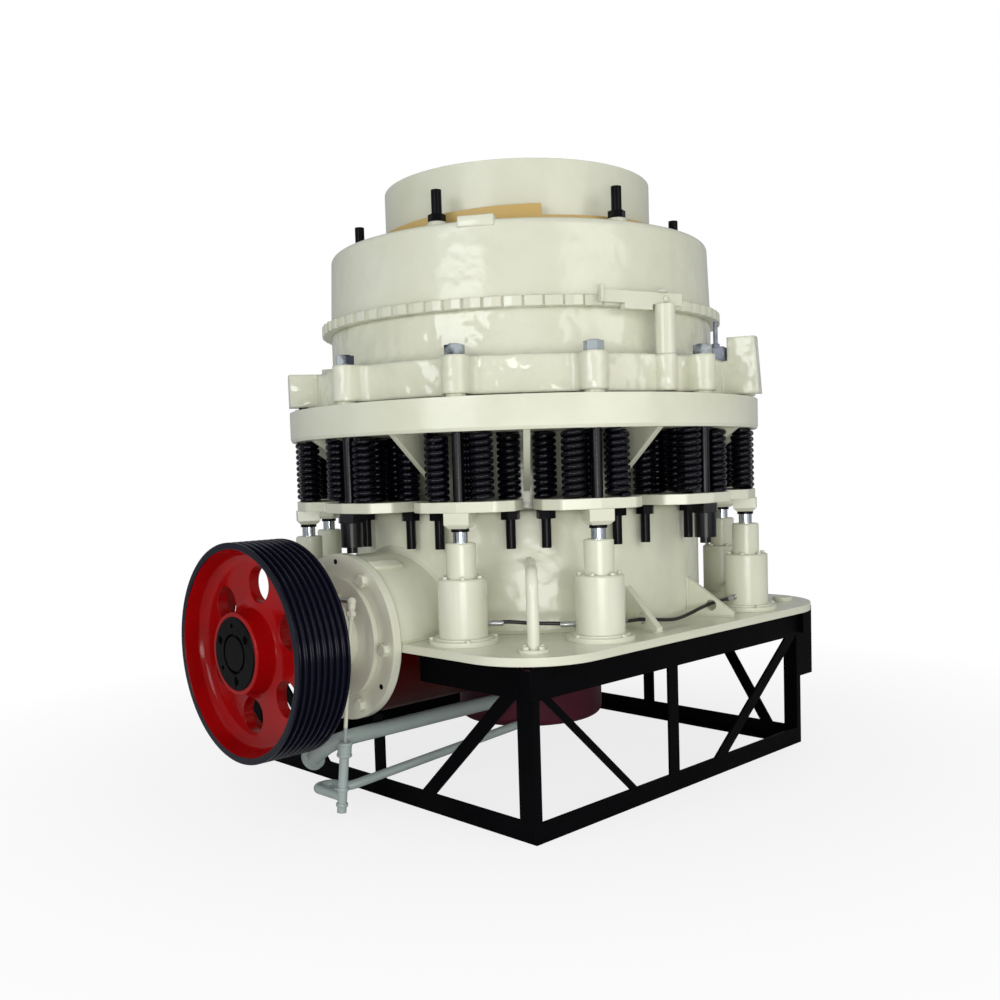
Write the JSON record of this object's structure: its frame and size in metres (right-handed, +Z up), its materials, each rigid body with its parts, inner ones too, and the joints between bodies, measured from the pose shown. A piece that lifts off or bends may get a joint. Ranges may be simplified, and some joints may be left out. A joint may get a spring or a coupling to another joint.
{
  "type": "cone crusher",
  "caption": "Spring cone crusher with hydraulic clearing jacks, belt pulley on its countershaft, open feed hopper and an angle-iron stand.",
  "frame": {"origin": "on the crusher's vertical axis at floor level, under the stand", "axes": "+Z up along the crusher axis, -Y along the countershaft towards the pulley, +X to the right of the pulley"},
  "size_m": [1.9998, 2.4619, 2.41],
  "materials": {
    "cream_paint": "gloss",
    "stand_black": "satin",
    "red_primer": "matte",
    "bare_casting": "rough",
    "wedge_yellow": "satin",
    "black_steel": "satin",
    "bright_rod": "polished",
    "hose_rubber": "satin",
    "pulley_black": "gloss"
  },
  "bodies": {
    "frame": {"stand_posts": "stand_black", "stand_top_rails": "stand_black", "stand_low_rails": "stand_black", "stand_braces": "stand_black", "base_plate": "cream_paint", "main_shell": "cream_paint", "spring_flange": "cream_paint", "neck_ribs": "cream_paint", "foot_gussets": "cream_paint", "centre_hub": "red_primer", "oil_sump": "red_primer", "countershaft_housing": "cream_paint", "housing_flange": "cream_paint", "bearing_cover": "cream_paint", "head_mantle": "bare_casting", "feed_plate": "bare_casting", "jack_bodies": "cream_paint", "jack_hoses": "hose_rubber", "springs_right": "cream_paint", "springs_rear": "cream_paint", "springs_left": "cream_paint", "springs_front": "cream_paint", "side_pipe": "cream_paint", "oil_pipe": "cream_paint"},
    "bowl": {"adjusting_ring": "cream_paint", "adjusting_cap": "cream_paint", "tooth_ring": "cream_paint", "hopper": "cream_paint", "wedge_ring": "wedge_yellow", "bowl_liner": "bare_casting", "cap_studs": "black_steel", "cap_lug": "cream_paint", "main_bolts": "black_steel", "square_nuts": "cream_paint", "spring_plates_right": "cream_paint", "spring_plates_rear": "cream_paint", "spring_plates_left": "cream_paint", "spring_plates_front": "cream_paint", "spring_bolts": "black_steel", "jack_rods": "bright_rod", "pawl_post": "cream_paint", "pawl_arm": "cream_paint"},
    "drive": {"belt_pulley": "pulley_black", "pulley_bush": "pulley_black", "countershaft": "black_steel"}
  },
  "joints": [
    {"name": "countershaft_spin", "type": "hinge", "parent": "frame", "child": "drive", "pos_m": [0, -1.462, 0.628], "axis": [0, -1, 0], "continuous": true},
    {"name": "bowl_lift", "type": "slide", "parent": "frame", "child": "bowl", "axis": [0, 0, 1], "range_m": [0, 0.05], "deforming": ["springs_right", "springs_rear", "springs_left", "springs_front"]}
  ]
}
